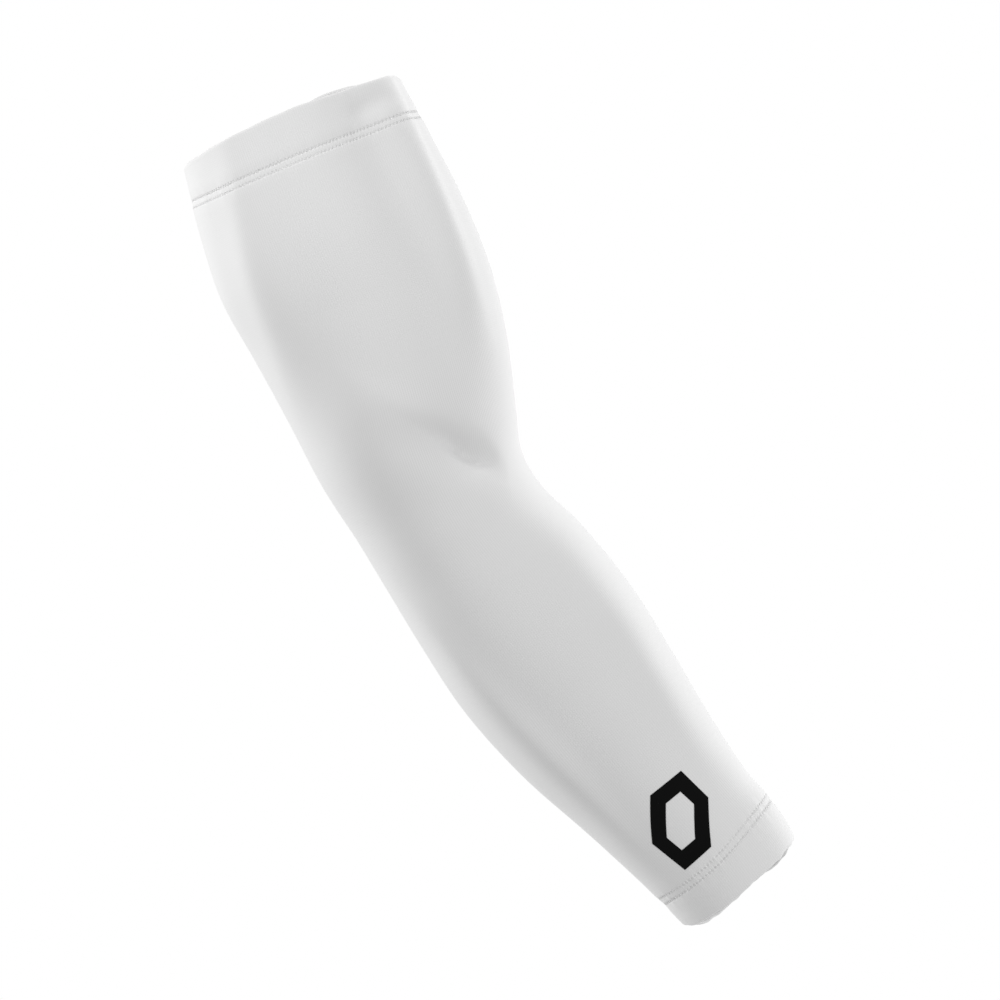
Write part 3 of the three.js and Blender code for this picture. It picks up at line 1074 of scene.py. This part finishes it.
# Soft lamps round the sleeve, aimed at its middle. azimuth is from the camera, through +X, and
# elevation is above the horizon, in degrees. Distances and sizes are in metres, power in watts.
LAMP_COLUMNS = ("name", "azimuth", "elevation", "distance", "width", "height", "power")
LAMPS = (
    ("upper_front_lamp", -25, 52, 0.8, 0.4, 0.4, 2.2),
    ("right_lamp", 60, 10, 2.2, 1.0, 1.6, 5),
    ("lower_right_lamp", 50, -50, 0.9, 0.6, 0.6, 1.8),
    ("right_edge_lamp", 122, 10, 1.7, 0.7, 1.8, 20),
    ("left_edge_lamp", -120, 5, 1.7, 0.7, 1.8, 18.5),
)


class SLEEVE_OT_studio(bpy.types.Operator):
    """Set up the pale floor, the lamps, the room light and the camera at the photograph's angle"""

    bl_idname = "sleeve.studio"
    bl_label = "Studio"
    bl_options = {"REGISTER", "UNDO"}

    def execute(self, context):
        settings = context.scene.sleeve_studio
        self.lay_floor(context, settings)
        aim = Vector(CAMERA_AIM) * MM
        for row in named(LAMP_COLUMNS, LAMPS):
            self.hang_lamp(context, settings, row, aim)
        self.light_room(context, settings)
        self.set_camera(context, aim)
        context.scene.view_settings.view_transform = "Standard"
        return {"FINISHED"}

    def lay_floor(self, context, settings):
        """A disc of paper, far below the sleeve: rings of points round a middle one."""
        angle = np.linspace(0, 2 * np.pi, FLOOR_SIDES, endpoint=False)
        radius = np.array([0.25, 0.5, 1.0])[:, None] * settings.floor_radius
        ring = np.stack([radius * np.cos(angle), radius * np.sin(angle), 0 * radius * angle], -1)
        points = np.concatenate([np.zeros((1, 3)), ring.reshape(-1, 3)])
        points[:, 2] += settings.floor_height
        side = np.arange(FLOOR_SIDES)
        following = (side + 1) % FLOOR_SIDES
        faces = [(0, 1 + a, 1 + b) for a, b in zip(side, following)]
        for step in range(2):
            near, far = 1 + step * FLOOR_SIDES, 1 + (step + 1) * FLOOR_SIDES
            faces += [(near + a, far + a, far + b, near + b) for a, b in zip(side, following)]
        mesh = bpy.data.meshes.new("floor")
        mesh.from_pydata(points, [], faces)
        mesh.shade_smooth()
        mesh.materials.append(studio_paper("white_background_paper", settings))
        floor = bpy.data.objects.new("floor", mesh)
        floor.visible_diffuse = False
        context.collection.objects.link(floor)

    def hang_lamp(self, context, settings, row, aim):
        """One area lamp, upright, looking at the aim."""
        azimuth, elevation = math.radians(row["azimuth"]), math.radians(row["elevation"])
        level = math.cos(elevation)
        away = Vector((math.sin(azimuth) * level, -math.cos(azimuth) * level, math.sin(elevation)))
        data = bpy.data.lights.new(row["name"], "AREA")
        data.shape = "RECTANGLE"
        data.size, data.size_y = row["width"], row["height"]
        data.energy = row["power"] * settings.brightness
        lamp = bpy.data.objects.new(row["name"], data)
        facing = away.to_track_quat("Z", "Y").to_matrix().to_4x4()
        lamp.matrix_world = Matrix.Translation(aim + away * row["distance"]) @ facing
        lamp.visible_camera = False
        context.collection.objects.link(lamp)

    def light_room(self, context, settings):
        """White where the camera sees it, and dimmer where it lights the sleeve."""
        world = bpy.data.worlds.new("white_room")
        world.use_nodes = True
        tree = world.node_tree
        tree.nodes.clear()
        seen = add_node(tree, "ShaderNodeBackground", {"Color": (1, 1, 1, 1), "Strength": 1.0})
        light = add_node(tree, "ShaderNodeBackground", {"Color": (1, 1, 1, 1), "Strength": settings.air})
        path = add_node(tree, "ShaderNodeLightPath", {})
        both = add_node(tree, "ShaderNodeMixShader", {"Fac": path.outputs["Is Camera Ray"]})
        tree.links.new(light.outputs["Background"], both.inputs[1])
        tree.links.new(seen.outputs["Background"], both.inputs[2])
        add_node(tree, "ShaderNodeOutputWorld", {"Surface": both.outputs["Shader"]})
        context.scene.world = world

    def set_camera(self, context, aim):
        """A level camera in front of the sleeve, rolled as the picture is, with the lens that
        gives the picture's scale at the sleeve."""
        data = bpy.data.cameras.new("camera")
        data.sensor_width = SENSOR_WIDTH
        data.lens = SENSOR_WIDTH * CAMERA_DISTANCE / (PICTURE_SCALE * PICTURE_WIDTH)
        data.clip_start, data.clip_end = 0.1, 60
        camera = bpy.data.objects.new("camera", data)
        roll = math.radians(CAMERA_ROLL)
        right = Vector((math.cos(roll), 0, -math.sin(roll)))
        up = Vector((math.sin(roll), 0, math.cos(roll)))
        turned = Matrix((right, up, right.cross(up))).transposed().to_4x4()
        camera.matrix_world = Matrix.Translation(aim - Vector((0, CAMERA_DISTANCE * MM, 0))) @ turned
        context.collection.objects.link(camera)
        context.scene.camera = camera


class SLEEVE_PT_panel(bpy.types.Panel):
    """The sleeve's settings and steps"""

    bl_label = "Compression Sleeve"
    bl_idname = "SLEEVE_PT_panel"
    bl_space_type = "VIEW_3D"
    bl_region_type = "UI"
    bl_category = "Sleeve"

    def draw(self, context):
        for group in SETTINGS:
            box = self.layout.box()
            settings = getattr(context.scene, group)
            for name in settings.__annotations__:
                box.prop(settings, name)
        for operator in OPERATORS:
            self.layout.operator(operator.bl_idname)


SETTINGS = {
    "sleeve_cloth": SleeveClothSettings,
    "sleeve_stitching": SleeveStitchingSettings,
    "sleeve_print": SleevePrintSettings,
    "sleeve_studio": SleeveStudioSettings,
}
OPERATORS = (
    SLEEVE_OT_knit_tube,
    SLEEVE_OT_hems,
    SLEEVE_OT_hem_stitching,
    SLEEVE_OT_back_seam,
    SLEEVE_OT_print_frame,
    SLEEVE_OT_studio,
)


def register():
    for item in (*SETTINGS.values(), *OPERATORS, SLEEVE_PT_panel):
        bpy.utils.register_class(item)
    for name, group in SETTINGS.items():
        setattr(bpy.types.Scene, name, PointerProperty(type=group))


def unregister():
    for name in SETTINGS:
        delattr(bpy.types.Scene, name)
    for item in (SLEEVE_PT_panel, *reversed(OPERATORS), *SETTINGS.values()):
        bpy.utils.unregister_class(item)


def main():
    register()
    bpy.ops.sleeve.knit_tube()
    bpy.ops.sleeve.hems()
    bpy.ops.sleeve.hem_stitching()
    bpy.ops.sleeve.back_seam()
    bpy.ops.sleeve.print_frame()
    bpy.ops.sleeve.studio()


if __name__ == "__main__":
    main()
